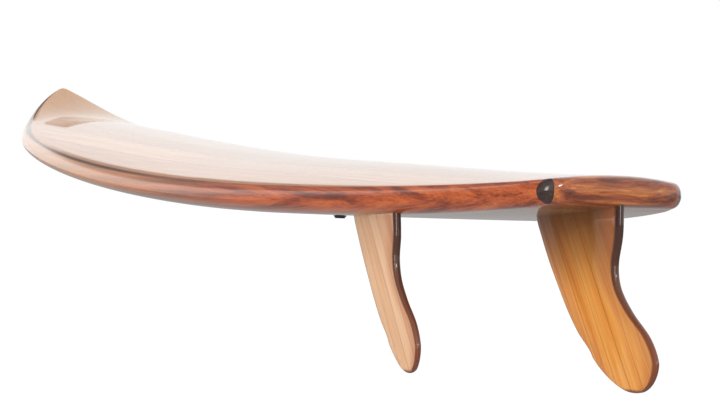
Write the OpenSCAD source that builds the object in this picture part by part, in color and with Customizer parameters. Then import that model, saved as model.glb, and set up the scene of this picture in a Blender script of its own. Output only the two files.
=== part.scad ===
// Hollow wooden surfboard with a square tail and three laminated fins.
// Millimetres. Each part is drawn with x from the tail end towards the nose,
// y towards port and z up from the hull's lowest point, and in_frame() then
// puts the origin under the middle of the whole board, at the fin tips.

/* [Board] */
// Length from the tail end to the nose tip
board_l = 1805; // [1700:5:1950]
// Half of the greatest width
half_beam = 252; // [235:1:265]
// Half of the width at the square tail
half_tail = 113; // [105:1:130]
// Where the board is widest, as a share of its length from the tail
widest_at = 0.49; // [0.46:0.01:0.54]
// How far the middle of the tail end bulges aft of its corners
tail_arc = 19; // [0:1:30]
// Thickness on the centreline amidships
mid_thick = 86; // [70:1:92]
// Thickness at the tail
tail_thick = 42; // [36:1:46]
// Thickness at the nose
nose_thick = 42; // [34:1:44]
// Height of the rounded rail's widest line above the bottom
apex_h = 19; // [16:1:21]

/* [Rocker] */
// Rise of the bottom at the nose, without the flip at the tip
nose_rise = 131; // [80:1:150]
// Extra rise of the nose tip
nose_flip = 48; // [0:1:70]
// Rise of the bottom at the tail
tail_rise = 26; // [10:1:40]
// Lowest point of the bottom, as a share of the length
low_at = 0.318; // [0.25:0.001:0.4]

/* [Timber] */
// Thickness of the deck and bottom planks
skin = 6; // [4:0.5:8]
// Width of the deck and bottom planks
plank_w = 58; // [50:1:60]
// Width of the solid rails
rail_w = 28; // [24:1:36]
// Length of the tail block
tail_block_l = 70; // [50:1:90]
// Length of the nose block
nose_block_l = 140; // [120:1:170]
// Length of the strip across the tail end and of the dark caps at its corners
strip_l = 22; // [20:1:26]
// Distance of the dark caps from the centreline
cap_y = 104; // [98:1:106]
// Thickness of the ribs
rib_t = 6; // [4:0.5:9]
// Distance between ribs
rib_pitch = 200; // [180:5:230]
// Thickness of the spine
spine_t = 8; // [6:0.5:12]
// Glue gap between neighbouring pieces of timber
glue = 0.25; // [0.1:0.05:0.4]

/* [Fins] */
// Depth of the centre fin below the hull
fin_depth = 236; // [200:1:245]
// Greatest thickness of a fin
fin_t = 13; // [10:0.5:15]
// Depth of a side fin as a share of the centre fin's
side_depth = 0.93; // [0.85:0.01:0.94]
// Chord of a side fin as a share of the centre fin's
side_chord = 0.64; // [0.55:0.01:0.7]
// Distance from the tail end to a side fin's trailing edge
side_x = 302; // [290:1:330]
// Distance of a side fin from the centreline
side_y = 174; // [140:1:176]
// Toe-in of a side fin, in degrees
side_toe = 2.5; // [0:0.5:5]
// Extra sweep of a side fin's tip
side_sweep = 22; // [0:1:30]
// Share of its chord that a side fin loses towards the tip, next to the centre fin
side_taper = 0.12; // [0:0.01:0.2]

/* [Fittings] */
// Distance of the drain plug from the tail end
drain_x = 718; // [680:1:740]
// Distance of the drain plug from the centreline
drain_y = 29; // [25:1:33]
// Radius of the drain plug's head
plug_r = 10.5; // [9:0.5:12]
// How far the drain plug's head stands out of the bottom
plug_head = 4.5; // [4:0.5:6]
// Radius of the drain plug's thread
thread_r = 6; // [5:0.5:7]
// Distance of the leash cup to starboard of the centreline
leash_y = 29; // [26:1:33]
// Distance of the leash cup from the tail end
leash_x = 255; // [245:1:270]
// Length of the hardwood plate round the leash cup
plate_l = 44; // [38:1:60]
// Radius of the leash cup's mouth
cup_r = 14; // [12:0.5:15]
// Radius of the leash bar
bar_r = 2.5; // [2:0.1:3]

/* [Hidden] */
$fn = 48;
planks = 4;
ribs = 7;
first_rib = 210;

// The centre fin's tip rakes aft of the tail end by this much
fin_overhang = 90;
// A side fin's depth is measured from this height
side_root_z = 2;
// Gap for glue over a fin's root
fin_glue = 0.8;
// Depth over which a fin's root leaves the hull's shape
blend_depth = 60;
// Forward end of the timber over the fins
fin_block_end = 480;
lightening_r = 13;
socket_r = 13;
socket_h = 22;
cup_wall = 2.5;
cup_depth = 18;
// Height of the centre fin's root above the hull's lowest point
root_z = 10;
fin_drop = fin_depth - root_z;
origin_x = (board_l - fin_overhang) / 2;

// ---- Shape of the hull ----

tail_power = 2.3;
bow_power = 2.82;
bow_round = 0.58;
corner_r = 20;
end_round = 18;
end_face = 0.6;
// Half of the tail end's flat middle
flat_end = 12;
tip_round = 6;

function clamp(v, low, high) = max(low, min(high, v));

// Half of the outline's width before the tail corners are rounded
function outline(x) =
  let (u = x / board_l)
  u < widest_at
    ? half_tail + (half_beam - half_tail) * (1 - pow(1 - u / widest_at, tail_power))
    : half_beam * pow(max(0, 1 - pow((u - widest_at) / (1 - widest_at), bow_power)), bow_round);

// Half width with the tail corners rounded
function half_w(x) =
  outline(x) - (x < corner_r ? corner_r - sqrt(pow(corner_r, 2) - pow(corner_r - x, 2)) : 0);

// Inner face of the rails
function inner_w(x) = outline(x) - rail_w;

// Where the rails' inner face is at distance y, aft and forward of the widest point
function aft_x(y) =
  y <= inner_w(0) ? 0
    : board_l * widest_at
      * (1 - pow(1 - (y + rail_w - half_tail) / (half_beam - half_tail), 1 / tail_power));
function fore_x(y) =
  board_l * (widest_at + (1 - widest_at)
    * pow(1 - pow((y + rail_w) / half_beam, 1 / bow_round), 1 / bow_power));

// Height of the bottom on the centreline
function keel_z(x) =
  let (u = x / board_l)
  u < low_at
    ? tail_rise * pow(1 - u / low_at, 2.4)
    : nose_rise * pow((u - low_at) / (1 - low_at), 2.09)
      + nose_flip * pow(clamp((u - 0.909) / 0.091, 0, 1), 2.55);

// Thickness on the centreline
function thick(x) =
  let (u = x / board_l)
  u < 0.45
    ? tail_thick + (mid_thick - tail_thick) * (1 - pow(1 - u / 0.45, 2))
    : nose_thick + (mid_thick - nose_thick) * (1 - pow((u - 0.45) / 0.55, 2.66));

// The top and bottom edges are rolled over at the tail end and the nose tip
function end_scale(x) =
  x < end_round ? end_face + (1 - end_face) * sqrt(1 - pow(1 - x / end_round, 2))
  : x > board_l - tip_round ? sqrt(max(0, 1 - pow(1 - (board_l - x) / tip_round, 2)))
  : 1;

// Height of the rail's upper shoulder above the bottom
function shoulder(x) =
  let (u = x / board_l)
  u < 0.45 ? 34 + 6 * u / 0.45 : 40 - 4 * (u - 0.45) / 0.55;

// How far in from the rail's edge the top and the bottom are rolled
function top_roll(x) = min(half_w(x), 16 + 8 * clamp(x / board_l / 0.4, 0, 1));
function low_roll(x) = min(half_w(x), 20 + 40 * clamp(x / board_l / 0.4, 0, 1));

// Quarter ellipse from 0 at the rail's edge to 1 where the roll ends
function rolled(x, y, roll) =
  sqrt(max(0, 1 - pow(max(0, min(1, (abs(y) - half_w(x) + roll) / roll)), 2)));
function crown(x, y) = 1 - pow(min(1, abs(y) / half_w(x)), 2);

function apex_z(x) = keel_z(x) + apex_h;
function bottom_z(x, y) =
  apex_z(x) - apex_h * end_scale(x) * (0.94 * rolled(x, y, low_roll(x)) + 0.06 * crown(x, y));
function deck_z(x, y) =
  apex_z(x) + end_scale(x) * ((shoulder(x) - apex_h) * rolled(x, y, top_roll(x))
                              + (thick(x) - shoulder(x)) * crown(x, y));

// ---- Solids made of rings of points ----

module in_frame() translate([-origin_x, 0, fin_drop]) children();

// Triangles across a ring whose second half runs back along its first
function rungs(n) = concat(
  [for (k = [0 : floor(n / 2) - 2]) each [[k, k + 1, n - 2 - k], [k, n - 2 - k, n - 1 - k]]],
  n % 2 == 1 ? [[(n - 3) / 2, (n - 1) / 2, (n + 1) / 2]] : []);

// Closed solid through rings that all have the same number of points. Ends that
// are not flat are closed with rungs.
module loft(rings, flat = true) {
  n = len(rings[0]);
  last = len(rings) - 1;
  ends = flat ? [[for (k = [0 : n - 1]) k]] : rungs(n);
  polyhedron(
    points = [for (r = rings) each r],
    faces = concat(
      [for (f = ends) [for (k = [len(f) - 1 : -1 : 0]) f[k]]],
      [for (i = [0 : last - 1], k = [0 : n - 1]) let (j = (k + 1) % n)
        [i * n + k, i * n + j, (i + 1) * n + j]],
      [for (i = [0 : last - 1], k = [0 : n - 1]) let (j = (k + 1) % n)
        [i * n + k, (i + 1) * n + j, (i + 1) * n + k]],
      [for (f = ends) [for (k = f) last * n + k]]),
    convexity = 6);
}

// Evenly spaced numbers from a to b
function steps(a, b, n) = [for (i = [0 : n]) a + (b - a) * i / n];

// Spacing that closes up towards b
function closing(a, b, n) = [for (i = [0 : n]) a + (b - a) * sin(90 * i / n)];

// Place of a point on the hull, with the tail end's arc worked in
function hull_point(x, y, z) =
  [x + tail_arc * pow(max(0, abs(y) - flat_end) / (half_tail - flat_end), 2)
       * max(0, 1 - x / tail_block_l), y, z];

// Ring round the hull at x, between distances y0 and y1 from the centreline
function hull_ring(x, y0, y1, n) =
  let (ys = closing(y0, y1, n))
  concat([for (y = ys) hull_point(x, y, bottom_z(x, y))],
         [for (i = [n : -1 : 0]) if (ys[i] < half_w(x)) hull_point(x, ys[i], deck_z(x, ys[i]))]);

// Full ring across the hull at x
function full_ring(x, n) =
  let (w = half_w(x))
  concat([for (i = [0 : 2 * n]) let (y = w * sin(90 * (i / n - 1))) [x, y, bottom_z(x, y)]],
         [for (i = [2 * n - 1 : -1 : 1]) let (y = w * sin(90 * (i / n - 1))) [x, y, deck_z(x, y)]]);

module port_side(port) mirror([0, port ? 0 : 1, 0]) children();

// ---- Rails and end blocks ----

module rail(port) {
  color("saddlebrown") in_frame() port_side(port)
    loft([for (x = concat([strip_l + glue], block_x, steps(110, 400, 6),
                          steps(460, board_l - 450, 14),
                          steps(board_l - 420, board_l - nose_block_l - glue, 8)))
      hull_ring(x, inner_w(x), half_w(x), 6)], false);
}

module nose_block() {
  color("saddlebrown") in_frame()
    loft([for (x = closing(board_l - nose_block_l, board_l - 0.2, 14)) full_ring(x, 6)]);
}

// Spacing that opens out from a
function opening(a, b, n) = [for (i = [0 : n]) a + (b - a) * (1 - cos(90 * i / n))];

// Places of the rings that the tail block shares with the rails
block_x = [32, 45, 57, tail_block_l];

// Ring across the tail out to w, flat in the middle
function tail_ring(x, w) =
  let (ys = concat(steps(-w, -flat_end, 6), steps(flat_end, w, 6)))
  concat([for (y = ys) hull_point(x, y, bottom_z(x, y))],
         [for (i = [len(ys) - 1 : -1 : 0]) hull_point(x, ys[i], deck_z(x, ys[i]))]);

module tail_strip() {
  color("peru") in_frame()
    loft([for (x = concat(opening(0, end_round, 5), [strip_l]))
      tail_ring(x, min(half_w(x) - 0.4, cap_y - glue))], false);
}

module tail_block() {
  color("saddlebrown") in_frame()
    loft([for (x = concat([strip_l + glue], block_x)) tail_ring(x, inner_w(x) - glue)], false);
}

module tail_corner(port) {
  color("black") in_frame() port_side(port)
    loft([for (x = concat(opening(4, corner_r, 6), [strip_l])) hull_ring(x, cap_y, half_w(x), 6)],
         false);
}

// ---- Deck and bottom planks ----

// Places of a plank's rings. Planks that run out into the rail end in a point.
function plank_x(y0) =
  steps(max(tail_block_l + glue, aft_x(y0 + 3)),
        min(board_l - nose_block_l - glue, fore_x(y0 + 3)), 30);
plate_aft = leash_x - plate_l / 2;
plate_fore = leash_x + plate_l / 2;
function plank_edge(x, i) = min(i * plank_w, inner_w(x)) - glue;

// Length of deck between distances y0 and plank_edge
module deck_strip(xs, y0, i) {
  loft([for (x = xs) let (ys = steps(y0, plank_edge(x, i), 2))
    concat([for (y = ys) [x, y, deck_z(x, y) - skin]],
           [for (k = [2 : -1 : 0]) [x, ys[k], deck_z(x, ys[k])]])]);
}

// The first starboard plank starts forward of the leash plate
module deck_plank(i, port) {
  y0 = (i - 1) * plank_w;
  xs = i == 1 && !port ? steps(plate_fore + glue, board_l - nose_block_l - glue, 27) : plank_x(y0);
  color(i % 2 == 0 ? "burlywood" : "tan") in_frame() port_side(port) deck_strip(xs, y0, i);
}

module leash_plank() {
  color("tan") in_frame() port_side(false)
    deck_strip(steps(tail_block_l + glue, plate_aft - glue, 4), 0, 1);
}

module leash_plate() {
  color("saddlebrown") in_frame() port_side(false) difference() {
    deck_strip(steps(plate_aft, plate_fore, 2), 0, 1);
    translate([leash_x, leash_y, 0]) cylinder(r = cup_r + cup_wall + glue, h = 120);
  }
}

module bottom_plank(i, port) {
  y0 = (i - 1) * plank_w;
  color(i % 2 == 0 ? "tan" : "burlywood") in_frame() port_side(port) difference() {
    loft([for (x = plank_x(y0)) let (ys = steps(y0, plank_edge(x, i), 2))
      concat([for (y = ys) [x, y, bottom_z(x, y)]],
             [for (k = [2 : -1 : 0]) [x, ys[k], bottom_z(x, ys[k]) + skin]])]);
    if (i == 1 && port) translate([drain_x, drain_y, -20]) cylinder(r = socket_r + glue, h = 60);
  }
}

// ---- Spine and ribs ----

function rib_x(i) = first_rib + (i - 1) * rib_pitch;
function rib_top(x, y) = min(deck_z(x - rib_t / 2, y), deck_z(x + rib_t / 2, y)) - skin - glue;
function rib_low(x, y) =
  max(bottom_z(x - rib_t / 2, y), bottom_z(x + rib_t / 2, y)) + skin + glue;
function mid_z(x) = (rib_top(x, 0) + rib_low(x, 0)) / 2;

module spine() {
  xs = steps(tail_block_l + glue, board_l - nose_block_l - glue, 48);
  color("wheat") in_frame() rotate([90, 0, 0])
    difference() {
      linear_extrude(spine_t, center = true)
        polygon(concat([for (x = xs) [x, bottom_z(x, spine_t / 2) + skin + glue]],
                       [for (i = [len(xs) - 1 : -1 : 0])
                         [xs[i], deck_z(xs[i], spine_t / 2) - skin - glue]]));
      for (i = [1 : ribs]) translate([rib_x(i), mid_z(rib_x(i)) + 50, 0])
        cube([rib_t + 2 * glue, 100, spine_t + 2], center = true);
      for (i = [1 : ribs - 1], k = [-1, 1]) let (x = rib_x(i) + rib_pitch / 2 + k * 40)
        if (x > fin_block_end) translate([x, mid_z(x), -spine_t])
          cylinder(r = lightening_r, h = 2 * spine_t);
    }
}

module rib(i) {
  x = rib_x(i);
  w = min(inner_w(x - rib_t / 2), inner_w(x + rib_t / 2)) - glue;
  ys = steps(-w, w, 16);
  color("wheat") in_frame() translate([x - rib_t / 2, 0, 0]) rotate([90, 0, 90])
    difference() {
      linear_extrude(rib_t)
        polygon(concat([for (y = ys) [y, rib_low(x, y)]],
                       [for (k = [len(ys) - 1 : -1 : 0]) [ys[k], rib_top(x, ys[k])]]));
      translate([0, mid_z(x) - 50, rib_t / 2])
        cube([spine_t + 2 * glue, 100, rib_t + 2], center = true);
      if (x > fin_block_end) for (y = [-w * 0.62, -w * 0.3, w * 0.3, w * 0.62])
        translate([y, mid_z(x) - 2, -1]) cylinder(r = lightening_r, h = rib_t + 2);
    }
}

// ---- Fins ----

// Rows of the centre fin: depth below the hull, leading edge and trailing edge,
// both measured forward of the trailing edge's root
fin_rows = [[0, 214, 4], [32, 198, 4], [64, 178, 12], [96, 155, 4], [128, 131, -26],
            [160, 102, -68], [192, 65, -89]];
row_step = 32;
cap_from = 192;
cap_power = 1.25;
tip_x = -37;

// Smooth curve through column c of the rows
function row_at(t, c) =
  let (last = len(fin_rows) - 1, i = min(last - 1, floor(t)), f = t - i,
       a = fin_rows[max(0, i - 1)][c], b = fin_rows[i][c], d = fin_rows[i + 1][c],
       e = fin_rows[min(last, i + 2)][c])
  b + f * ((d - a) / 2 + f * (a - 2.5 * b + 2 * d - e / 2 + f * (1.5 * (b - d) + (e - a) / 2)));

// Leading and trailing edge at a depth on the centre fin
function fin_edges(depth) =
  depth <= cap_from
    ? [row_at(depth / row_step, 1), row_at(depth / row_step, 2)]
    : let (f = (depth - cap_from) / (fin_depth - cap_from), lead = fin_rows[6][1],
           trail = fin_rows[6][2], mid = (lead + trail) / 2 + f * (tip_x - (lead + trail) / 2),
           half = (lead - trail) / 2 * sqrt(max(0, 1 - pow(f, cap_power))))
      [mid + half, mid - half];

// Thickness at a depth, and its share at a place along the chord, 0 at the leading edge
function fin_thick(depth) = fin_t * (1 - 0.35 * pow(depth / fin_depth, 2));
function foil(s) =
  s < 0.3 ? sqrt(1 - pow(1 - s / 0.3, 2.4)) : s < 0.92 ? 1 : sqrt(1 - 0.75 * pow((s - 0.92) / 0.08, 2));

chord_steps = [0, 0.02, 0.06, 0.14, 0.3, 0.45, 0.6, 0.76, 0.92, 0.95, 0.98, 1];

// Settings of a fin: x and y of its root, toe, chord, taper, depth share, sweep
// and the height its depth is measured from
centre_set = [0, 0, 0, 1, 0, 1, 0, root_z];
side_set = [side_x, side_y, side_toe, side_chord, side_taper, side_depth, side_sweep, side_root_z];

// One level of a fin as a ring. The root follows the hull's bottom and the
// blade straightens out of that within blend_depth.
function fin_ring(depth, set) =
  let (e = fin_edges(depth), share = depth / fin_depth,
       chord = set[3] * (1 - set[4] * share), back = set[6] * share,
       c0 = e[0] * chord - back, c1 = e[1] * chord - back,
       t = fin_thick(depth) * min(1, (c0 - c1) / 40 + 0.1) / 2, last = len(chord_steps) - 1)
  [for (k = [0 : 2 * last + 1])
    let (s = chord_steps[k <= last ? k : 2 * last + 1 - k], a = c0 + (c1 - c0) * s,
         b = (k <= last ? 1 : -1) * max(0.3, t * foil(s)),
         x = set[0] + a * cos(set[2]) + b * sin(set[2]),
         y = set[1] - a * sin(set[2]) + b * cos(set[2]))
      [x, y, set[7] - depth * set[5]
             + (bottom_z(max(x, 3), y) - fin_glue - set[7]) * max(0, 1 - depth / blend_depth)]];

module fin(set) {
  loft([for (d = concat(steps(0, cap_from, 12), closing(cap_from + 6, fin_depth - 0.1, 8)))
    fin_ring(d, set)], false);
}

module centre_fin() {
  color("goldenrod") in_frame() fin(centre_set);
}

module side_fin(port) {
  color("goldenrod") in_frame() port_side(port) fin(side_set);
}

// Solid timber inside the bottom, over the fins' roots
module tail_fin_block(port) {
  x0 = tail_block_l + 1;
  color("peru") in_frame() port_side(port)
    translate([x0, spine_t / 2 + 1, bottom_z(x0, 25) + skin + 1])
      cube([first_rib - rib_t / 2 - 1 - x0, 20, 18]);
}

module side_fin_block(port) {
  y1 = inner_w(side_x) - 3;
  color("peru") in_frame() port_side(port)
    translate([side_x + 2, y1 - 26, bottom_z(side_x + 2, y1) + skin + 1])
      cube([rib_x(2) - rib_t / 2 - side_x - 4, 26, 16]);
}

// ---- Drain plug ----

plug_z = bottom_z(drain_x, drain_y);
seal_r = 0.8;
module at_drain() in_frame() translate([drain_x, drain_y, plug_z]) children();

module drain_socket() {
  color("black") at_drain() difference() {
    cylinder(r = socket_r, h = socket_h);
    translate([0, 0, -1]) cylinder(r = thread_r + 0.05, h = socket_h + 2);
  }
}

// Ring between the plug's head and the socket
module drain_seal() {
  color("dimgray") at_drain()
    rotate_extrude() translate([thread_r + 1.5, -seal_r - 0.1]) circle(r = seal_r);
}

// Plug with a tapered head and a coin slot
module drain_screw() {
  gap = 2 * seal_r + 0.2;
  color("black") at_drain() difference() {
    union() {
      translate([0, 0, -gap - plug_head])
        cylinder(r1 = plug_r - 3, r2 = plug_r, h = plug_head);
      translate([0, 0, -gap - 0.01]) cylinder(r = thread_r, h = 15);
    }
    translate([-plug_r, -1.2, -gap - plug_head - 1]) cube([2 * plug_r, 2.4, 2.6]);
  }
}

// ---- Leash cup ----

cup_z = deck_z(leash_x, leash_y) - 0.3;
module at_leash(z) in_frame() translate([leash_x, -leash_y, cup_z + z]) children();

module leash_cup() {
  color("black") at_leash(-cup_depth) difference() {
    cylinder(r = cup_r + cup_wall, h = cup_depth);
    translate([0, 0, -1]) cylinder(r = cup_r, h = cup_depth + 2);
  }
}

module leash_cup_floor() {
  color("black") at_leash(-cup_depth) cylinder(r = cup_r - 0.02, h = cup_wall);
}

module leash_bar() {
  color("silver") at_leash(-bar_r - 2.5) rotate([90, 0, 0])
    cylinder(r = bar_r, h = 2 * cup_r + cup_wall, center = true);
}

rail(true);  // port_rail
rail(false);  // starboard_rail
nose_block();
tail_block();
tail_strip();
tail_corner(true);  // port_tail_corner
tail_corner(false);  // starboard_tail_corner
for (i = [1 : planks]) {
  deck_plank(i, true);
  deck_plank(i, false);
  bottom_plank(i, true);
  bottom_plank(i, false);
}
spine();
for (i = [1 : ribs]) rib(i);
centre_fin();
side_fin(true);  // port_side_fin
side_fin(false);  // starboard_side_fin
tail_fin_block(true);  // port_tail_fin_block
tail_fin_block(false);  // starboard_tail_fin_block
side_fin_block(true);  // port_side_fin_block
side_fin_block(false);  // starboard_side_fin_block
drain_socket();
drain_seal();
drain_screw();
leash_plank();
leash_plate();
leash_cup();
leash_cup_floor();
leash_bar();
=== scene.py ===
"""Looks of the hollow wooden surfboard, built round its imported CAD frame.

Lengths of the board are in millimetres until place() turns them into the frame's metres.
"""
import math

import bmesh
import bpy
from mathutils import Matrix, Vector


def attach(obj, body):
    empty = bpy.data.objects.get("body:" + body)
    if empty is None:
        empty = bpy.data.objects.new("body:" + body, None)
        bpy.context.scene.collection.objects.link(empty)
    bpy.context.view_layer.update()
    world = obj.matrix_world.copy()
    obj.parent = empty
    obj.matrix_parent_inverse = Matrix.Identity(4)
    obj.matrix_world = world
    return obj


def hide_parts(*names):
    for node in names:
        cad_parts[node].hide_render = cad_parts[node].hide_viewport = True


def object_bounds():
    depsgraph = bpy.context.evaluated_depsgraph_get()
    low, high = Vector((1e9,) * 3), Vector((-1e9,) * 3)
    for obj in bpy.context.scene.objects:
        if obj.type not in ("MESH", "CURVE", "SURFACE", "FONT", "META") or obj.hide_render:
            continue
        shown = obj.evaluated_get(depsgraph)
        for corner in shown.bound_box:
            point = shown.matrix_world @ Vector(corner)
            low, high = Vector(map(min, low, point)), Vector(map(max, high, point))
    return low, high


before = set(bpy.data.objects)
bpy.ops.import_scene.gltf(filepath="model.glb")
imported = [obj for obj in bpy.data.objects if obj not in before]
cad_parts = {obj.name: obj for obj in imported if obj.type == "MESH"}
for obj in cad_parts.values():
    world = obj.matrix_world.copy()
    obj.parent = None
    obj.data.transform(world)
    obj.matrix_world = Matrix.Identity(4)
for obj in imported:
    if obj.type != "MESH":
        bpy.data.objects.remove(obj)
cad_box = [list(corner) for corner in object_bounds()]

# ---- Shape of the hull, as in the CAD source ----

BOARD_L = 1805.0
FIN_OVERHANG = 90.0
FIN_DEPTH = 236.0
ROOT_Z = 10.0
ORIGIN_X = (BOARD_L - FIN_OVERHANG) / 2
DROP = FIN_DEPTH - ROOT_Z
HALF_BEAM = 252.0
HALF_TAIL = 113.0
WIDEST = 0.49
APEX_H = 19.0
LOW_AT = 0.318
CORNER_R = 20.0
TAIL_BLOCK = 70.0
NOSE_BLOCK = 140.0
STRIP_L = 22.0
CAP_Y = 104.0
FLAT_END = 12.0
PLATE = (233.0, 277.0)
RAIL_W = 28.0
PLANK_W = 58.0
SKIN = 6.0
TAIL_ARC = 19.0
MID_THICK = 86.0
END_THICK = 42.0
THICKEST = 0.45
TAIL_POWER = 2.3
BOW_POWER = 2.82
BOW_ROUND = 0.58
END_ROUND = 18.0
END_FACE = 0.6
TIP_ROUND = 6.0
ROLL_SETTLES = 0.4
BELLY = 0.06


def clamp(v, low=0.0, high=1.0):
    return max(low, min(high, v))


def outline(x):
    u = x / BOARD_L
    if u < WIDEST:
        return HALF_TAIL + (HALF_BEAM - HALF_TAIL) * (1 - (1 - u / WIDEST) ** TAIL_POWER)
    return HALF_BEAM * max(0.0, 1 - ((u - WIDEST) / (1 - WIDEST)) ** BOW_POWER) ** BOW_ROUND


def half_w(x):
    if x < CORNER_R:
        return outline(x) - CORNER_R + math.sqrt(CORNER_R**2 - (CORNER_R - x) ** 2)
    return outline(x)


def inner_w(x):
    return outline(x) - RAIL_W


def keel_z(x):
    u = x / BOARD_L
    if u < LOW_AT:
        return 26 * (1 - u / LOW_AT) ** 2.4
    return 131 * ((u - LOW_AT) / (1 - LOW_AT)) ** 2.09 + 48 * clamp((u - 0.909) / 0.091) ** 2.55


def thick(x):
    u = x / BOARD_L
    extra = MID_THICK - END_THICK
    if u < THICKEST:
        return END_THICK + extra * (1 - (1 - u / THICKEST) ** 2)
    return END_THICK + extra * (1 - ((u - THICKEST) / (1 - THICKEST)) ** 2.66)


def end_scale(x):
    """Share of the section's height left where the tail end and the nose tip are rolled over."""
    if x < END_ROUND:
        return END_FACE + (1 - END_FACE) * math.sqrt(1 - (1 - x / END_ROUND) ** 2)
    if x > BOARD_L - TIP_ROUND:
        return math.sqrt(max(0.0, 1 - (1 - (BOARD_L - x) / TIP_ROUND) ** 2))
    return 1.0


def shoulder(x):
    """Height of the rail's upper shoulder above the bottom."""
    u = x / BOARD_L
    return 34 + 6 * u / THICKEST if u < THICKEST else 40 - 4 * (u - THICKEST) / (1 - THICKEST)


def rolled(x, y, roll):
    """Quarter ellipse from 0 at the rail's edge to 1 where the roll ends."""
    reach = min(half_w(x), roll)
    return math.sqrt(max(0.0, 1 - clamp((abs(y) - half_w(x) + reach) / reach) ** 2))


def crown(x, y):
    return 1 - min(1.0, abs(y) / half_w(x)) ** 2


def bottom_z(x, y):
    roll = rolled(x, y, 20 + 40 * clamp(x / BOARD_L / ROLL_SETTLES))
    return keel_z(x) + APEX_H - APEX_H * end_scale(x) * ((1 - BELLY) * roll + BELLY * crown(x, y))


def deck_z(x, y):
    roll = rolled(x, y, 16 + 8 * clamp(x / BOARD_L / ROLL_SETTLES))
    rise = (shoulder(x) - APEX_H) * roll + (thick(x) - shoulder(x)) * crown(x, y)
    return keel_z(x) + APEX_H + end_scale(x) * rise


def hull_point(x, y, z):
    arc = TAIL_ARC * (max(0.0, abs(y) - FLAT_END) / (HALF_TAIL - FLAT_END)) ** 2
    return (x + arc * max(0.0, 1 - x / TAIL_BLOCK), y, z)


def place(p):
    """Board millimetres to the row frame in metres."""
    return ((p[0] - ORIGIN_X) / 1000, p[1] / 1000, (p[2] + DROP) / 1000)


def steps(a, b, n):
    return [a + (b - a) * i / n for i in range(n + 1)]


# ---- Camera and studio ----

HEADING = math.radians(30.62)
PITCH = math.radians(0.055)
ROLL = math.radians(1.895)


def add_camera():
    flat = math.cos(PITCH)
    ahead = Vector((math.cos(HEADING) * flat, -math.sin(HEADING) * flat, math.sin(PITCH)))
    right = Vector((-math.sin(HEADING), -math.cos(HEADING), 0.0))
    up = right.cross(ahead)
    across = right * math.cos(ROLL) + up * math.sin(ROLL)
    upright = up * math.cos(ROLL) - right * math.sin(ROLL)
    data = bpy.data.cameras.new("camera")
    data.lens = 157.2
    data.sensor_width = 36.0
    data.clip_start = 0.1
    data.clip_end = 400.0
    camera = bpy.data.objects.new("camera", data)
    bpy.context.scene.collection.objects.link(camera)
    turn = Matrix((across, upright, -ahead)).transposed()
    camera.matrix_world = Matrix.Translation(place((-3499.7, 2489.9, 9.1))) @ turn.to_4x4()
    bpy.context.scene.camera = camera


add_camera()
bpy.context.scene.view_settings.view_transform = "Standard"


class Tree:
    """Short way to add and link shader nodes."""

    def __init__(self, tree):
        self.tree = tree
        tree.nodes.clear()

    def add(self, kind, **values):
        node = self.tree.nodes.new("ShaderNode" + kind)
        for key, value in values.items():
            setattr(node, key, value)
        return node

    def link(self, a, b):
        self.tree.links.new(a, b)

    def feed(self, socket, value):
        if isinstance(value, bpy.types.NodeSocket):
            self.link(value, socket)
        else:
            socket.default_value = value

    def math(self, operation, a, b=0.0, c=0.0, clamped=False):
        node = self.add("Math", operation=operation, use_clamp=clamped)
        for socket, value in zip(node.inputs, (a, b, c)):
            self.feed(socket, value)
        return node.outputs[0]

    def vector(self, operation, a, b):
        node = self.add("VectorMath", operation=operation)
        self.feed(node.inputs[0], a)
        self.feed(node.inputs[1], b)
        return node.outputs["Value" if operation == "DOT_PRODUCT" else "Vector"]

    def smooth(self, value, low, high, to_low=0.0, to_high=1.0):
        node = self.add("MapRange", interpolation_type="SMOOTHSTEP")
        self.feed(node.inputs["Value"], value)
        self.feed(node.inputs["From Min"], low)
        self.feed(node.inputs["From Max"], high)
        self.feed(node.inputs["To Min"], to_low)
        self.feed(node.inputs["To Max"], to_high)
        return node.outputs["Result"]

    def mix(self, factor, a, b, blend="MIX"):
        node = self.add("Mix", data_type="RGBA", blend_type=blend)
        self.feed(node.inputs["Factor"], factor)
        self.feed(node.inputs[6], a)
        self.feed(node.inputs[7], b)
        return node.outputs[2]

    def noise(self, vector, scale, detail=3.0, roughness=0.5, distortion=0.0):
        node = self.add("TexNoise")
        self.link(vector, node.inputs["Vector"])
        node.inputs["Scale"].default_value = scale
        node.inputs["Detail"].default_value = detail
        node.inputs["Roughness"].default_value = roughness
        node.inputs["Distortion"].default_value = distortion
        return node.outputs["Fac"]

    def stretch(self, vector, scale, move=(0, 0, 0), turn=(0, 0, 0)):
        node = self.add("Mapping")
        self.link(vector, node.inputs["Vector"])
        node.inputs["Scale"].default_value = scale
        node.inputs["Location"].default_value = move
        node.inputs["Rotation"].default_value = turn
        return node.outputs["Vector"]

    def ramp(self, factor, stops):
        node = self.add("ValToRGB")
        self.link(factor, node.inputs["Fac"])
        band = node.color_ramp
        while len(band.elements) < len(stops):
            band.elements.new(0.5)
        for element, (where, colour) in zip(band.elements, stops):
            element.position = where
            element.color = rgb(colour)
        return node.outputs["Color"]

    def bump(self, height, distance, strength=1.0, normal=None):
        node = self.add("Bump")
        self.link(height, node.inputs["Height"])
        node.inputs["Distance"].default_value = distance
        node.inputs["Strength"].default_value = strength
        if normal is not None:
            self.link(normal, node.inputs["Normal"])
        return node.outputs["Normal"]


def rgb(colour):
    return (colour[0], colour[1], colour[2], 1.0)


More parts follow.
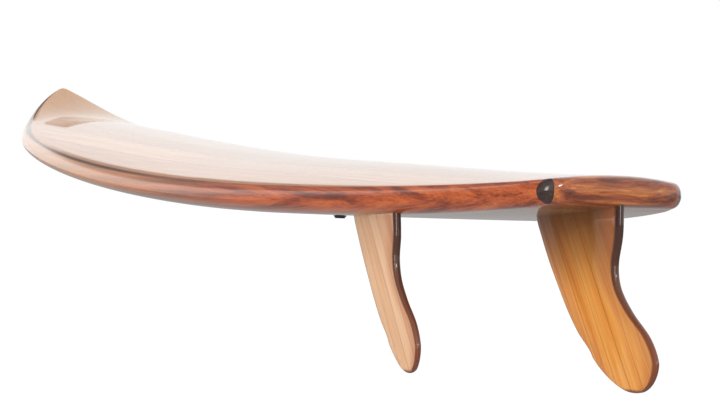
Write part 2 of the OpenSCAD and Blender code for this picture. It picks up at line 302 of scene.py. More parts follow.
def add_world():
    """Even white light, and for reflections a bright wall ahead, a strip light to port and a darker room."""
    world = bpy.data.worlds.new("studio")
    bpy.context.scene.world = world
    world.use_nodes = True
    t = Tree(world.node_tree)
    where = t.add("TexCoord").outputs["Generated"]
    ray = t.add("LightPath")
    part = t.add("SeparateXYZ")
    t.link(where, part.inputs[0])
    turn = t.math("ARCTAN2", part.outputs["Y"], part.outputs["X"])
    share = t.math("MULTIPLY_ADD", turn, 0.5 / math.pi, 0.5)
    top = 3.0  # both ramps hold their levels divided by this
    height = part.outputs["Z"]
    levels = [(-180, 0.9), (-120, 1.0), (-75, 0.9), (-45, 0.95), (-30, 0.92), (-15, 1.1), (-6, 1.3), (6, 1.4),
              (20, 1.3), (28, 1.1), (33, 0.6), (40, 0.28), (55, 0.15), (75, 0.2), (110, 0.6), (140, 0.9),
              (165, 0.4), (180, 0.9)]
    rises = [(0.0, 1.0), (0.1, 1.06), (0.2, 1.15), (0.33, 1.3), (0.44, 1.3), (0.6, 1.2), (1.0, 0.9)]
    round_room = t.ramp(share, [((az + 180) / 360, (v / top, v / top, v / top)) for az, v in levels])
    lift = t.ramp(height, [(where, (k / top, k / top, k / top)) for where, k in rises])
    seen = t.math("MULTIPLY", t.math("MULTIPLY", round_room, lift), top * top)

    def beside(azimuth, near, far, peak):
        """Level that falls from peak to 0 with the angle, in radians, from an azimuth in degrees."""
        away = t.math("ABSOLUTE", t.math("SUBTRACT", turn, math.radians(azimuth)))
        return t.smooth(away, near, far, peak, 0.0)

    dark_card = t.math("MULTIPLY", beside(-1, 0.25, 0.38, 1.0), t.smooth(height, 0.38, 0.46, 0.0, 0.85))
    seen = t.math("MULTIPLY", seen, t.math("SUBTRACT", 1.0, dark_card))
    low_strip = t.math("MULTIPLY", beside(40, 0.1, 0.3, 1.0), t.smooth(height, 0.0, 0.06, 1.2, 0.0))
    lamp = t.math("MULTIPLY", beside(122, 0.05, 0.11, 9.0), t.smooth(height, 0.2, 0.5, 1.0, 0.0))
    seen = t.math("ADD", t.math("ADD", seen, low_strip), lamp)
    plain = t.math("MAXIMUM", ray.outputs["Is Camera Ray"], ray.outputs["Is Diffuse Ray"])
    level = t.add("Mix")
    t.link(plain, level.inputs["Factor"])
    t.link(seen, level.inputs["A"])
    level.inputs["B"].default_value = 1.0
    sky = t.add("Background")
    sky.inputs["Color"].default_value = (1.0, 1.0, 1.0, 1.0)
    t.link(level.outputs["Result"], sky.inputs["Strength"])
    t.link(sky.outputs[0], t.add("OutputWorld").inputs["Surface"])


def add_floor():
    mesh = bpy.data.meshes.new("floor")
    size = 150.0
    corners = [(-size, -size, 0), (size, -size, 0), (size, size, 0), (-size, size, 0)]
    mesh.from_pydata(corners, [], [(0, 1, 2, 3)])
    floor = bpy.data.objects.new("floor", mesh)
    floor.location.z = cad_box[0][2] - 0.0005
    bpy.context.scene.collection.objects.link(floor)
    paint = bpy.data.materials.new("floor")
    paint.use_nodes = True
    t = Tree(paint.node_tree)
    ray = t.add("LightPath")
    glow = t.add("Emission")
    glow.inputs["Color"].default_value = (1.0, 1.0, 1.0, 1.0)
    off_camera = t.smooth(ray.outputs["Is Glossy Ray"], 0.0, 1.0, 0.72, 0.32)
    t.link(t.smooth(ray.outputs["Is Camera Ray"], 0.0, 1.0, off_camera, 1.0), glow.inputs["Strength"])
    card = t.add("BsdfDiffuse")
    card.inputs["Color"].default_value = (0.06, 0.06, 0.06, 1.0)
    both = t.add("AddShader")
    t.link(glow.outputs[0], both.inputs[0])
    t.link(card.outputs[0], both.inputs[1])
    t.link(both.outputs[0], t.add("OutputMaterial").inputs["Surface"])
    mesh.materials.append(paint)


def add_light(name, spot, aim, size, power, glossy=True):
    data = bpy.data.lights.new(name, "AREA")
    data.shape = "RECTANGLE"
    data.size = size[0]
    data.size_y = size[1]
    data.energy = power
    light = bpy.data.objects.new(name, data)
    light.location = spot
    light.rotation_euler = (Vector(aim) - Vector(spot)).to_track_quat("-Z", "Y").to_euler()
    light.visible_camera = False
    light.visible_glossy = glossy
    bpy.context.scene.collection.objects.link(light)


add_world()
add_floor()
add_light("side_box", (-3.6, 1.2, 1.3), (-0.8, 0.0, 0.2), (0.5, 0.35), 14.0)
add_light("port_fill", (-1.6, 3.2, 0.5), (-0.4, 0.0, 0.2), (2.2, 1.2), 38.0, glossy=False)

# ---- Materials ----


def varnished(t, colour, grain_bump, coat_rough=0.035, wave=0.00012):
    """Principled wood under clear gloss, with faint waves in the coat."""
    bsdf = t.add("BsdfPrincipled")
    t.feed(bsdf.inputs["Base Color"], colour)
    bsdf.inputs["Roughness"].default_value = 0.5
    bsdf.inputs["Specular IOR Level"].default_value = 0.15
    bsdf.inputs["Coat Weight"].default_value = 1.0
    bsdf.inputs["Coat Roughness"].default_value = coat_rough
    bsdf.inputs["Coat IOR"].default_value = 1.5
    if grain_bump is not None:
        t.link(grain_bump, bsdf.inputs["Normal"])
    where = t.add("TexCoord").outputs["Object"]
    ripple = t.noise(t.stretch(where, (6.0, 14.0, 14.0)), 1.0, 2.0)
    t.link(t.bump(ripple, wave), bsdf.inputs["Coat Normal"])
    t.link(bsdf.outputs[0], t.add("OutputMaterial").inputs["Surface"])
    return bsdf


def new_material(name):
    m = bpy.data.materials.new(name)
    m.use_nodes = True
    return m, Tree(m.node_tree)


def grain(t, along, stops, streak=1.0, seed=0.0, figure=1.0):
    """Colour and bump of timber whose grain runs along one axis. streak scales the width of the streaks."""
    where = t.add("TexCoord").outputs["Object"]
    drift = t.noise(t.stretch(where, (2.2, 2.2, 2.2), (seed, 0, 0)), 1.0, 2.0)
    sway = t.vector("SUBTRACT", drift_colour(t, where, seed), (0.5, 0.5, 0.5))
    shift = t.vector("MULTIPLY", sway, (0.02, 0.012, 0.012))
    bent = t.vector("ADD", where, shift)
    scale = [70.0 / streak] * 3
    scale[along] = 1.6
    fine = [420.0] * 3
    fine[along] = 9.0
    pore = [1500.0] * 3
    pore[along] = 45.0
    rings = t.noise(t.stretch(bent, scale, (seed * 3, seed, seed * 2)), 1.0, 4.0, 0.62, 0.4)
    lines = t.noise(t.stretch(bent, fine, (seed, 0, seed)), 1.0, 3.0, 0.6)
    pores = t.noise(t.stretch(where, pore, (0, seed, 0)), 1.0, 2.0, 0.5)
    mixed = t.math("ADD", t.math("MULTIPLY", rings, 0.74), t.math("MULTIPLY", lines, 0.26))
    colour = t.ramp(mixed, stops)
    tone = t.math("MULTIPLY_ADD", drift, 0.5 * figure, 1.0 - 0.25 * figure)
    dark = t.smooth(pores, 0.56, 0.72, 1.0, 0.72)
    level = t.math("MULTIPLY", tone, dark)
    spread = t.add("CombineColor")
    for socket in spread.inputs:
        t.link(level, socket)
    colour = t.mix(1.0, colour, spread.outputs[0], "MULTIPLY")
    height = t.math("ADD", t.math("MULTIPLY", pores, 0.5), lines)
    return where, colour, t.bump(height, 0.00012, 0.6)


def drift_colour(t, where, seed):
    node = t.add("TexNoise")
    t.link(t.stretch(where, (3.0, 9.0, 9.0), (seed, seed, 0)), node.inputs["Vector"])
    node.inputs["Scale"].default_value = 1.0
    return node.outputs["Color"]


def rail_wood(name, seed, stops, figure):
    """Timber of the rails and the nose, paler on the upper side and towards the nose by a painted reflection,
    with a dark line of painted reflection above the edge and one of painted shade below it, which fade
    towards the tail.
    """
    m, t = new_material(name)
    where, colour, bump = grain(t, 0, stops, 1.2, seed, figure)
    inset = t.add("Attribute", attribute_name="inset").outputs["Fac"]
    part = t.add("SeparateXYZ")
    t.link(where, part.inputs[0])
    tip = t.smooth(part.outputs["X"], 0.62, 0.84)
    # Painted reflection: the rail is paler on its upper side and towards the nose, standing for the white
    # studio seen in the gloss at grazing angles.
    reflection_towards_nose = t.smooth(part.outputs["X"], -0.3, 0.6, 0.0, 0.82)
    painted_pale_reflection = t.math("MAXIMUM", reflection_towards_nose, t.smooth(inset, 12.5, 15.0, 0.0, 0.7))
    colour = t.mix(painted_pale_reflection, colour, (0.52, 0.30, 0.17, 1.0))
    # Painted reflection and shade: the dark line on the upper side stands for dark studio edges reflected in
    # the gloss, and the line below the edge is painted shade where the rail turns under. The upper line
    # widens towards the nose, and both fade towards the tail.
    fade = t.smooth(part.outputs["X"], -0.25, 0.25, 0.0, 0.9)
    above = t.math("ABSOLUTE", t.math("SUBTRACT", inset, 12.0))
    core = t.math("MULTIPLY_ADD", tip, 2.5, 1.0)
    line = t.smooth(above, core, t.math("MULTIPLY_ADD", tip, 4.0, 3.5), 1.0, 0.0)
    below = t.smooth(t.math("ABSOLUTE", t.math("ADD", inset, 16.0)), 2.0, 6.0, 0.9, 0.0)
    lines = t.math("MULTIPLY", t.math("MAXIMUM", line, below), fade)
    colour = t.mix(lines, colour, (0.055, 0.020, 0.010, 1.0))
    varnished(t, colour, bump)
    return m


def tail_wood():
    m, t = new_material("tail_wood")
    stops = [(0.30, (0.050, 0.013, 0.008)), (0.42, (0.14, 0.032, 0.013)), (0.52, (0.28, 0.070, 0.024)),
             (0.61, (0.42, 0.135, 0.030)), (0.72, (0.60, 0.26, 0.055))]
    _, colour, bump = grain(t, 1, stops, 0.9, 4.0, 1.0)
    varnished(t, colour, bump)
    return m


def dark_wood():
    m, t = new_material("dark_wood")
    stops = [(0.30, (0.012, 0.007, 0.006)), (0.55, (0.040, 0.019, 0.015)), (0.75, (0.09, 0.042, 0.030))]
    _, colour, bump = grain(t, 0, stops, 0.5, 7.0, 0.5)
    varnished(t, colour, bump, 0.05)
    return m


def plank_wood(name, stops, seed):
    """A plank, with a dark glue line along both of its long edges."""
    m, t = new_material(name)
    where, colour, bump = grain(t, 0, stops, 1.0, seed, 0.9)
    part = t.add("SeparateXYZ")
    t.link(where, part.inputs[0])
    across = t.math("ABSOLUTE", part.outputs["Y"])
    seam = t.math("PINGPONG", across, PLANK_W / 2000)
    line = t.smooth(seam, 0.0002, 0.0009, 0.75, 0.0)
    colour = t.mix(line, colour, (0.05, 0.016, 0.008, 1.0))
    varnished(t, colour, bump)
    return m


def fin_wood(name, strip, root_tone_and_shade, warm, seed):
    """Strips glued along the fin's rake under glass cloth and resin, dark on the rim and darker at the root,
    partly the wood's tone and partly painted shade under the hull.
    """
    m, t = new_material(name)
    where = t.add("TexCoord").outputs["Object"]
    turned = t.stretch(where, (1.0, 1.0, 1.0), (0, 0, 0), (0.0, math.radians(-32), 0.0))
    part = t.add("SeparateXYZ")
    t.link(turned, part.inputs[0])
    across = t.math("DIVIDE", t.math("ADD", part.outputs["X"], seed * 0.01), strip)
    number = t.math("FLOOR", across)
    pick = t.add("TexWhiteNoise", noise_dimensions="1D")
    t.link(t.math("ADD", number, seed), pick.inputs["W"])
    edge = t.math("PINGPONG", across, 0.5)
    glue_line = t.smooth(edge, 0.008, 0.028, 0.55, 0.0)
    rings = t.noise(t.stretch(turned, (110.0, 40.0, 4.0), (seed, 0, 0)), 1.0, 4.0, 0.6, 0.5)
    pores = t.noise(t.stretch(turned, (1500.0, 300.0, 60.0), (0, seed, 0)), 1.0, 2.0)
    tone = t.math("ADD", t.math("MULTIPLY", rings, 0.8), t.math("MULTIPLY", pick.outputs["Value"], 0.2))
    colour = t.ramp(tone, warm)
    colour = t.mix(glue_line, colour, (0.10, 0.022, 0.006, 1.0))
    weave_x = t.math("SINE", t.math("MULTIPLY", part.outputs["X"], 2600.0))
    weave_z = t.math("SINE", t.math("MULTIPLY", part.outputs["Z"], 2600.0))
    weave = t.math("MULTIPLY", weave_x, weave_z)
    colour = t.mix(t.smooth(weave, -1.0, 1.0, 0.12, 0.0), colour, (0.12, 0.03, 0.008, 1.0))
    depth = t.add("Attribute", attribute_name="fin_depth").outputs["Fac"]
    chord = t.add("Attribute", attribute_name="fin_chord").outputs["Fac"]
    wander = t.math("MULTIPLY_ADD", t.noise(t.stretch(turned, (30.0, 30.0, 6.0)), 1.0, 3.0), 0.16, -0.08)
    # Darker towards the root: partly the wood's own tone, partly painted shade where the hull shades the fin.
    root_tone_and_painted_shade = t.smooth(t.math("ADD", depth, wander), 0.02, 0.50, root_tone_and_shade, 0.0)
    colour = t.mix(root_tone_and_painted_shade, colour, (0.050, 0.012, 0.008, 1.0))
    rim = t.smooth(t.math("ADD", chord, t.math("MULTIPLY", wander, 0.1)), 0.93, 0.965)
    tip = t.smooth(depth, 0.972, 0.992)
    lead = t.smooth(chord, 0.012, 0.03, 1.0, 0.0)
    colour = t.mix(t.smooth(chord, 0.68, 0.93, 0.0, 0.5), colour, (0.36, 0.085, 0.012, 1.0))
    colour = t.mix(t.math("MULTIPLY", lead, 0.85), colour, (0.50, 0.12, 0.02, 1.0))
    edge_tone = t.mix(t.smooth(depth, 0.1, 0.8), (0.022, 0.007, 0.006, 1.0), (0.13, 0.028, 0.012, 1.0))
    colour = t.mix(t.math("MULTIPLY", t.math("MAXIMUM", rim, tip), 0.92), colour, edge_tone)
    height = t.math("ADD", t.math("MULTIPLY", pores, 0.4), t.math("MULTIPLY", weave, 0.15))
    varnished(t, colour, t.bump(height, 0.0001, 0.5), 0.02, 0.00004)
    return m


def plywood():
    """Bare plywood of the inner frame."""
    m, t = new_material("plywood")
    stops = [(0.30, (0.42, 0.26, 0.13)), (0.55, (0.62, 0.42, 0.23)), (0.75, (0.74, 0.56, 0.34))]
    _, colour, bump = grain(t, 0, stops, 0.6, 9.0, 0.5)
    bsdf = t.add("BsdfPrincipled")
    t.link(colour, bsdf.inputs["Base Color"])
    bsdf.inputs["Roughness"].default_value = 0.7
    t.link(bump, bsdf.inputs["Normal"])
    t.link(bsdf.outputs[0], t.add("OutputMaterial").inputs["Surface"])
    return m


def moulded(name, base, rough, metallic=0.0, scale=900.0):
    """Moulded plastic, rubber or drawn metal with a fine texture and a little wear."""
    m, t = new_material(name)
    where = t.add("TexCoord").outputs["Object"]
    speck = t.noise(where, scale, 3.0)
    patch = t.noise(where, 90.0, 2.0)
    light = tuple(min(1.0, c * 1.8 + 0.01) for c in base)
    colour = t.mix(t.smooth(patch, 0.4, 0.7, 0.0, 0.6), rgb(base), rgb(light))
    bsdf = t.add("BsdfPrincipled")
    t.link(colour, bsdf.inputs["Base Color"])
    t.link(t.smooth(speck, 0.2, 0.8, rough * 0.8, min(1.0, rough * 1.25)), bsdf.inputs["Roughness"])
    bsdf.inputs["Metallic"].default_value = metallic
    t.link(t.bump(speck, 0.00005, 0.4), bsdf.inputs["Normal"])
    t.link(bsdf.outputs[0], t.add("OutputMaterial").inputs["Surface"])
    return m


DECK_A = [(0.30, (0.44, 0.23, 0.12)), (0.50, (0.52, 0.29, 0.16)),
          (0.62, (0.57, 0.34, 0.19)), (0.75, (0.62, 0.40, 0.24))]
DECK_B = [(0.30, (0.39, 0.19, 0.10)), (0.50, (0.48, 0.25, 0.13)),
          (0.62, (0.54, 0.30, 0.16)), (0.75, (0.60, 0.37, 0.21))]
BASE_A = [(0.30, (0.22, 0.11, 0.055)), (0.50, (0.40, 0.22, 0.11)),
          (0.62, (0.50, 0.31, 0.17)), (0.75, (0.58, 0.40, 0.24))]
BASE_B = [(0.30, (0.17, 0.08, 0.04)), (0.50, (0.32, 0.16, 0.08)),
          (0.62, (0.42, 0.24, 0.13)), (0.75, (0.52, 0.33, 0.19))]
WARM = [(0.22, (0.52, 0.14, 0.013)), (0.42, (0.67, 0.25, 0.036)),
        (0.60, (0.76, 0.34, 0.070)), (0.80, (0.82, 0.43, 0.12))]
PALE = [(0.22, (0.58, 0.30, 0.14)), (0.42, (0.68, 0.38, 0.20)),
        (0.60, (0.74, 0.45, 0.26)), (0.80, (0.80, 0.53, 0.34))]
CEDAR = [(0.30, (0.075, 0.016, 0.007)), (0.42, (0.20, 0.034, 0.011)), (0.52, (0.40, 0.078, 0.020)),
         (0.62, (0.52, 0.125, 0.032)), (0.74, (0.62, 0.20, 0.055))]
PEACH = [(0.30, (0.44, 0.25, 0.14)), (0.42, (0.52, 0.31, 0.18)),
         (0.52, (0.58, 0.37, 0.23)), (0.74, (0.64, 0.44, 0.30))]

WOOD = {
    "rail": rail_wood("rail_wood", 1.0, CEDAR, 0.8),
    "nose": rail_wood("nose_wood", 2.5, PEACH, 0.4),
    "tail": tail_wood(),
    "dark": dark_wood(),
    "deck_1": plank_wood("deck_wood_light", DECK_A, 1.3),
    "deck_0": plank_wood("deck_wood_red", DECK_B, 5.1),
    "bottom_1": plank_wood("bottom_wood_light", BASE_A, 2.2),
    "bottom_0": plank_wood("bottom_wood_tan", BASE_B, 6.4),
    "centre_fin": fin_wood("centre_fin_wood", 0.026, 0.80, WARM, 3.0),
    "side_fin": fin_wood("side_fin_wood", 0.022, 0.18, PALE, 8.0),
    "ply": plywood(),
    "plastic": moulded("black_plastic", (0.012, 0.012, 0.012), 0.35),
    "rubber": moulded("seal_rubber", (0.03, 0.03, 0.03), 0.6),
    "steel": moulded("bar_steel", (0.45, 0.45, 0.46), 0.3, 1.0, 400.0),
}

# ---- Meshes ----


def make(name, points, faces, paint, body, nodes, placed=True, sharp=35.0):
    """A smooth-shaded piece that stands for CAD nodes."""
    mesh = bpy.data.meshes.new(name)
    mesh.from_pydata([place(p) if placed else p for p in points], [], faces)
    mesh.validate()
    bm = bmesh.new()
    bm.from_mesh(mesh)
    bmesh.ops.recalc_face_normals(bm, faces=bm.faces)
    bm.to_mesh(mesh)
    bm.free()
    mesh.shade_smooth()
    mesh.set_sharp_from_angle(angle=math.radians(sharp))
    mesh.materials.append(paint)
    piece = bpy.data.objects.new(name, mesh)
    bpy.context.scene.collection.objects.link(piece)
    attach(piece, body)
    if nodes:
        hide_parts(*nodes)
    return piece


def loft(rings, ladder=True):
    """Points and faces of a closed solid through rings.

    A ladder cap joins an end ring's first half to its second half.
    """
    n = len(rings[0])
    points = [p for ring in rings for p in ring]
    faces = []
    for i in range(len(rings) - 1):
        for k in range(n):
            j = (k + 1) % n
            faces.append((i * n + k, i * n + j, (i + 1) * n + j, (i + 1) * n + k))
    for start in (0, (len(rings) - 1) * n):
        if ladder:
            for k in range(n // 2 - 1):
                faces.append((start + k, start + k + 1, start + n - 2 - k, start + n - 1 - k))
            if n % 2:
                faces.append((start + n // 2 - 1, start + n // 2, start + n // 2 + 1))
        else:
            faces.append(tuple(range(start, start + n)))
    return points, faces


def side_ring(x, y0, n):
    """Hull section from distance y0 out to the rail's edge and back."""
    ys = [y0 + (half_w(x) - y0) * math.sin(a) for a in steps(0, math.pi / 2, n - 1)]
    return ([hull_point(x, y, bottom_z(x, y)) for y in ys]
            + [hull_point(x, y, deck_z(x, y)) for y in reversed(ys[:-1])])


def mark_inset(piece, xs, rings):
    """Distance in from the rail's edge for the painted reflection and shade lines on the rail, negative under
    the board.
    """
    values = [(half_w(x) - abs(p[1])) * (1 if p[2] > keel_z(x) + APEX_H else -1)
              for x, ring in zip(xs, rings) for p in ring]
    piece.data.attributes.new("inset", "FLOAT", "POINT").data.foreach_set("value", values)


def mirrored(rings, port):
    return rings if port else [[(p[0], -p[1], p[2]) for p in ring] for ring in rings]


def opening(a, b, n):
    return [a + (b - a) * (1 - math.cos(math.pi / 2 * i / n)) for i in range(n + 1)]


def closing(a, b, n):
    return [a + (b - a) * math.sin(math.pi / 2 * i / n) for i in range(n + 1)]


def rail(port):
    side = "port" if port else "starboard"
    xs = steps(STRIP_L, BOARD_L - NOSE_BLOCK, 260)
    rings = [side_ring(x, inner_w(x), 24) for x in xs]
    points, faces = loft(mirrored(rings, port))
    piece = make(side + "_rail_timber", points, faces, WOOD["rail"], "board", [side + "_rail"])
    mark_inset(piece, xs, rings)


def tail_corner(port):
    side = "port" if port else "starboard"
    rings = [side_ring(x, CAP_Y, 24) for x in opening(4, CORNER_R, 16) + [STRIP_L]]
    points, faces = loft(mirrored(rings, port))
    make(side + "_tail_cap", points, faces, WOOD["dark"], "board", [side + "_tail_corner"])


def nose_block():
    rings = []
    xs = closing(BOARD_L - NOSE_BLOCK, BOARD_L - 0.1, 70)
    for x in xs:
        ys = [half_w(x) * math.sin(a) for a in steps(-math.pi / 2, math.pi / 2, 72)]
        rings.append([(x, y, bottom_z(x, y)) for y in ys]
                     + [(x, y, deck_z(x, y)) for y in reversed(ys[1:-1])])
    points, faces = loft(rings, ladder=False)
    piece = make("nose_timber_block", points, faces, WOOD["nose"], "board", ["nose_block"])
    mark_inset(piece, xs, rings)


def tail_piece(name, xs, reach, node):
    rings = []
    for x in xs:
        ys = steps(-reach(x), -FLAT_END, 28) + steps(FLAT_END, reach(x), 28)
        rings.append([hull_point(x, y, bottom_z(x, y)) for y in ys]
                     + [hull_point(x, y, deck_z(x, y)) for y in reversed(ys)])
    points, faces = loft(rings)
    make(name, points, faces, WOOD["tail"], "board", [node])


def run_out(y, aft):
    """Where the rails' inner face is at distance y, aft or forward of the widest point."""
    if aft:
        if y <= inner_w(0):
            return 0.0
        share = (y + RAIL_W - HALF_TAIL) / (HALF_BEAM - HALF_TAIL)
        return BOARD_L * WIDEST * (1 - (1 - share) ** (1 / TAIL_POWER))
    left = 1 - ((y + RAIL_W) / HALF_BEAM) ** (1 / BOW_ROUND)
    return BOARD_L * (WIDEST + (1 - WIDEST) * left ** (1 / BOW_POWER))


def strip(name, node, i, port, deck, start, stop, paint, slot, count=220):
    """Length of skin between two glue lines."""
    surface = deck_z if deck else bottom_z
    depth = -SKIN if deck else SKIN
    rings = []
    for x in steps(start, stop, count):
        ys = steps((i - 1) * PLANK_W, min(i * PLANK_W, inner_w(x)), 10)
        rings.append([(x, y, surface(x, y)) for y in ys]
                     + [(x, y, surface(x, y) + depth) for y in reversed(ys)])
    points, faces = loft(mirrored(rings, port))
    return make(name, points, faces, paint, "board", [node])


def plank(i, port, deck):
    side = "port" if port else "starboard"
    layer = "deck" if deck else "bottom"
    y0 = (i - 1) * PLANK_W
    start = max(TAIL_BLOCK, run_out(y0 + 0.5, True))
    if i == 1 and deck and not port:
        start = PLATE[1]
    stop = min(BOARD_L - NOSE_BLOCK, run_out(y0 + 0.5, False))
    node = f"{side}_{layer}_plank_{i}"
    paint = WOOD[f"{layer}_{i % 2}"]
    return strip(node + "_timber", node, i, port, deck, start, stop, paint, layer + "_timber")


def carve(piece, bm):
    """Takes the shape in bm out of a piece, and frees bm."""
    mesh = bpy.data.meshes.new("tool")
    bm.to_mesh(mesh)
    bm.free()
    tool = bpy.data.objects.new("tool", mesh)
    bpy.context.scene.collection.objects.link(tool)
    groove = piece.modifiers.new("groove", "BOOLEAN")
    groove.object = tool
    groove.operation = "DIFFERENCE"
    groove.solver = "EXACT"
    graph = bpy.context.evaluated_depsgraph_get()
    result = bpy.data.meshes.new_from_object(piece.evaluated_get(graph))
    piece.modifiers.clear()
    piece.data = result
    result.set_sharp_from_angle(angle=math.radians(35))
    bpy.data.objects.remove(tool)


def cut(piece, spot, radius, height):
    """Bores a round hole through a piece, along Z."""
    bm = bmesh.new()
    bmesh.ops.create_cone(bm, cap_ends=True, segments=96, radius1=radius / 1000, radius2=radius / 1000,
                          depth=height / 1000, matrix=Matrix.Translation(place(spot)))
    carve(piece, bm)


def slot_cut(piece, spot):
    """Coin slot across the plug's head."""
    bm = bmesh.new()
    bmesh.ops.create_cube(bm, size=1.0)
    bmesh.ops.scale(bm, vec=(0.03, 0.0024, 0.0032), verts=bm.verts)
    bmesh.ops.translate(bm, vec=place((spot[0], spot[1], spot[2] - 6.3)), verts=bm.verts)
    carve(piece, bm)


# ---- Fins ----

ROW_STEP = 32
FIN_ROWS = [[0, 214, 4], [32, 198, 4], [64, 178, 12], [96, 155, 4], [128, 131, -26], [160, 102, -68],
            [192, 65, -89]]
CAP_FROM = 192.0
TIP_X = -37.0
FIN_T = 13.0


def row_at(t, c):
    last = len(FIN_ROWS) - 1
    i = min(last - 1, int(t))
    f = t - i
    a, b = FIN_ROWS[max(0, i - 1)][c], FIN_ROWS[i][c]
    d, e = FIN_ROWS[i + 1][c], FIN_ROWS[min(last, i + 2)][c]
    return b + f * ((d - a) / 2 + f * (a - 2.5 * b + 2 * d - e / 2 + f * (1.5 * (b - d) + (e - a) / 2)))


def fin_edges(depth):
    if depth <= CAP_FROM:
        return row_at(depth / ROW_STEP, 1), row_at(depth / ROW_STEP, 2)
    f = (depth - CAP_FROM) / (FIN_DEPTH - CAP_FROM)
    lead, trail = FIN_ROWS[6][1], FIN_ROWS[6][2]
    middle = (lead + trail) / 2 + f * (TIP_X - (lead + trail) / 2)
    half = (lead - trail) / 2 * math.sqrt(max(0.0, 1 - f**1.25))
    return middle + half, middle - half


def foil(s):
    if s < 0.3:
        return math.sqrt(max(0.0, 1 - (1 - s / 0.3) ** 2.4))
    if s < 0.92:
        return 1.0
    return math.sqrt(max(0.0, 1 - ((s - 0.92) / 0.08) ** 2.6))


def fin(name, x0, y0, toe, chord, taper, deep, sweep, root, paint, mirror=1):
    shares = [0.3 * (1 - math.cos(math.pi / 2 * i / 14)) for i in range(15)] + steps(0.3, 0.92, 8)[1:]
    shares += closing(0.92, 1.0, 10)[1:]
    depths = steps(0, CAP_FROM, 64) + closing(CAP_FROM, FIN_DEPTH - 0.03, 26)[1:]
    rings, chords, levels = [], [], []
    c, s = math.cos(math.radians(toe)), math.sin(math.radians(toe))
    for depth in depths:
        share = depth / FIN_DEPTH
        lead, trail = (e * chord * (1 - taper * share) - sweep * share for e in fin_edges(depth))
        t = FIN_T * (1 - 0.35 * share**2) * min(1.0, (lead - trail) / 40 + 0.1) / 2
        ring = []
        for k in shares + shares[::-1]:
            side = 1 if len(ring) < len(shares) else -1
            a = lead + (trail - lead) * k
            b = side * max(0.05, t * foil(k))
            x, y = x0 + a * c + b * s, y0 - a * s + b * c
            z = root - depth * deep + (bottom_z(max(x, 3), y) - root + 0.3) * max(0.0, 1 - depth / 60)
            ring.append((x, y * mirror, z))
            chords.append(k)
            levels.append(share)
        rings.append(ring)
    points, faces = loft(rings)
    piece = make(name + "_blade", points, faces, paint, "board", [name], sharp=60.0)
    for label, values in (("fin_chord", chords), ("fin_depth", levels)):
        piece.data.attributes.new(label, "FLOAT", "POINT").data.foreach_set("value", values)


# ---- Fittings ----


def lathe(name, profile, spot, paint, body, nodes, sides=64):
    """Solid of revolution about Z through spot.

    The profile holds radius and height, and runs from axis to axis or round a loop.
    """
    solid = profile[0][0] == 0
    inner = profile[1:-1] if solid else profile
    points, faces = [], []
    for r, h in inner:
        for k in range(sides):
            a = 2 * math.pi * k / sides
            points.append((spot[0] + r * math.cos(a), spot[1] + r * math.sin(a), spot[2] + h))
    count = len(inner)
    for i in range(count if not solid else count - 1):
        for k in range(sides):
            j = (k + 1) % sides
            i2 = (i + 1) % count
            faces.append((i * sides + k, i * sides + j, i2 * sides + j, i2 * sides + k))
    if solid:
        faces.append(tuple(range(sides)))
        faces.append(tuple(range((count - 1) * sides, count * sides)))
    return make(name, points, faces, paint, body, nodes)


def rounded(corners, r, n=4):
    """Profile with its corners rounded. Each corner is radius and height."""
    out = []
    count = len(corners)
    for i, p in enumerate(corners):
        before, after = Vector(corners[i - 1]), Vector(corners[(i + 1) % count])
        here = Vector(p)
        a = here + (before - here).normalized() * r
        b = here + (after - here).normalized() * r
        for s in steps(0, 1, n):
            out.append(tuple(a * (1 - s) ** 2 + here * 2 * s * (1 - s) + b * s**2))
    return out


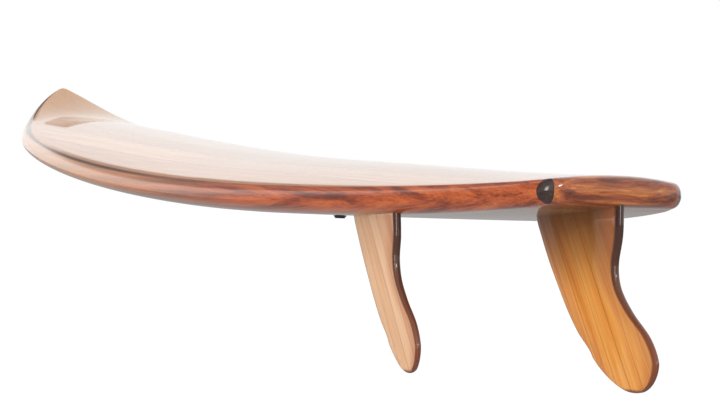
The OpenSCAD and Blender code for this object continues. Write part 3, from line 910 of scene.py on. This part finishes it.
def fittings():
    drain = (718.0, 29.0, bottom_z(718.0, 29.0))
    cup = (255.0, -29.0, deck_z(255.0, 29.0) - 0.3)
    lathe("drain_socket_ring", rounded([(6.05, 0), (13, 0), (13, 22), (6.05, 22)], 0.3), drain,
          WOOD["plastic"], "board", ["drain_socket"])
    ring = [(7.5 + 0.8 * math.cos(a), -0.9 + 0.8 * math.sin(a)) for a in steps(0, 2 * math.pi, 20)[:-1]]
    lathe("drain_seal_ring", ring, drain, WOOD["rubber"], "drain_seal", ["drain_seal"])
    head = [(7.1, -6.3), (7.5, -6.2), (10.2, -2.2), (10.5, -1.95), (10.3, -1.8), (6.0, -1.8)]
    thread = []
    for i in range(9):
        h = -1.0 + i * 1.5
        thread += [(6.0, h), (6.0, h + 0.55), (5.45, h + 0.85), (5.45, h + 1.15)]
    body = [(0, -6.3)] + head + thread + [(5.2, 13.2), (0, 13.2)]
    screw = lathe("drain_screw_plug", body, drain, WOOD["plastic"], "drain_screw",
                  ["drain_screw"])
    slot_cut(screw, drain)
    lathe("leash_cup_shell", rounded([(14, -18), (16.5, -18), (16.5, 0), (14, 0)], 0.5), cup,
          WOOD["plastic"], "board", ["leash_cup"])
    lathe("leash_cup_disc", [(0, -18), (13.98, -18), (13.98, -15.8), (13.7, -15.5), (0, -15.5)], cup,
          WOOD["plastic"], "board", ["leash_cup_floor"])
    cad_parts["leash_bar"].data.materials.clear()
    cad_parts["leash_bar"].data.materials.append(WOOD["steel"])
    return drain, cup


for port in (True, False):
    rail(port)
    tail_corner(port)
nose_block()
tail_piece("tail_end_strip", opening(0, END_ROUND, 22) + [STRIP_L],
           lambda x: min(half_w(x) - 0.4, CAP_Y), "tail_strip")
tail_piece("tail_timber_block", steps(STRIP_L, TAIL_BLOCK, 20), inner_w, "tail_block")
drain_at, cup_at = fittings()
for port in (True, False):
    for i in range(1, 5):
        for deck in (True, False):
            board = plank(i, port, deck)
            if i == 1 and port and not deck:
                cut(board, drain_at, 13.1, 60)
strip("leash_plank_timber", "leash_plank", 1, False, True, TAIL_BLOCK, PLATE[0],
      WOOD["deck_1"], "deck_timber", 24)
pad = strip("leash_plate_timber", "leash_plate", 1, False, True, PLATE[0], PLATE[1],
            WOOD["dark"], "dark_hardwood", 8)
cut(pad, cup_at, 16.6, 60)
fin("centre_fin", 0, 0, 0, 1, 0, 1, 0, ROOT_Z, WOOD["centre_fin"])
for side, mirror in (("port", 1), ("starboard", -1)):
    fin(side + "_side_fin", 302, 174, 2.5, 0.64, 0.12, 0.93, 22, 2, WOOD["side_fin"], mirror)

for name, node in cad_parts.items():
    if name == "spine" or name.startswith("rib_") or name.endswith("_fin_block"):
        node.data.materials.clear()
        node.data.materials.append(WOOD["ply"])
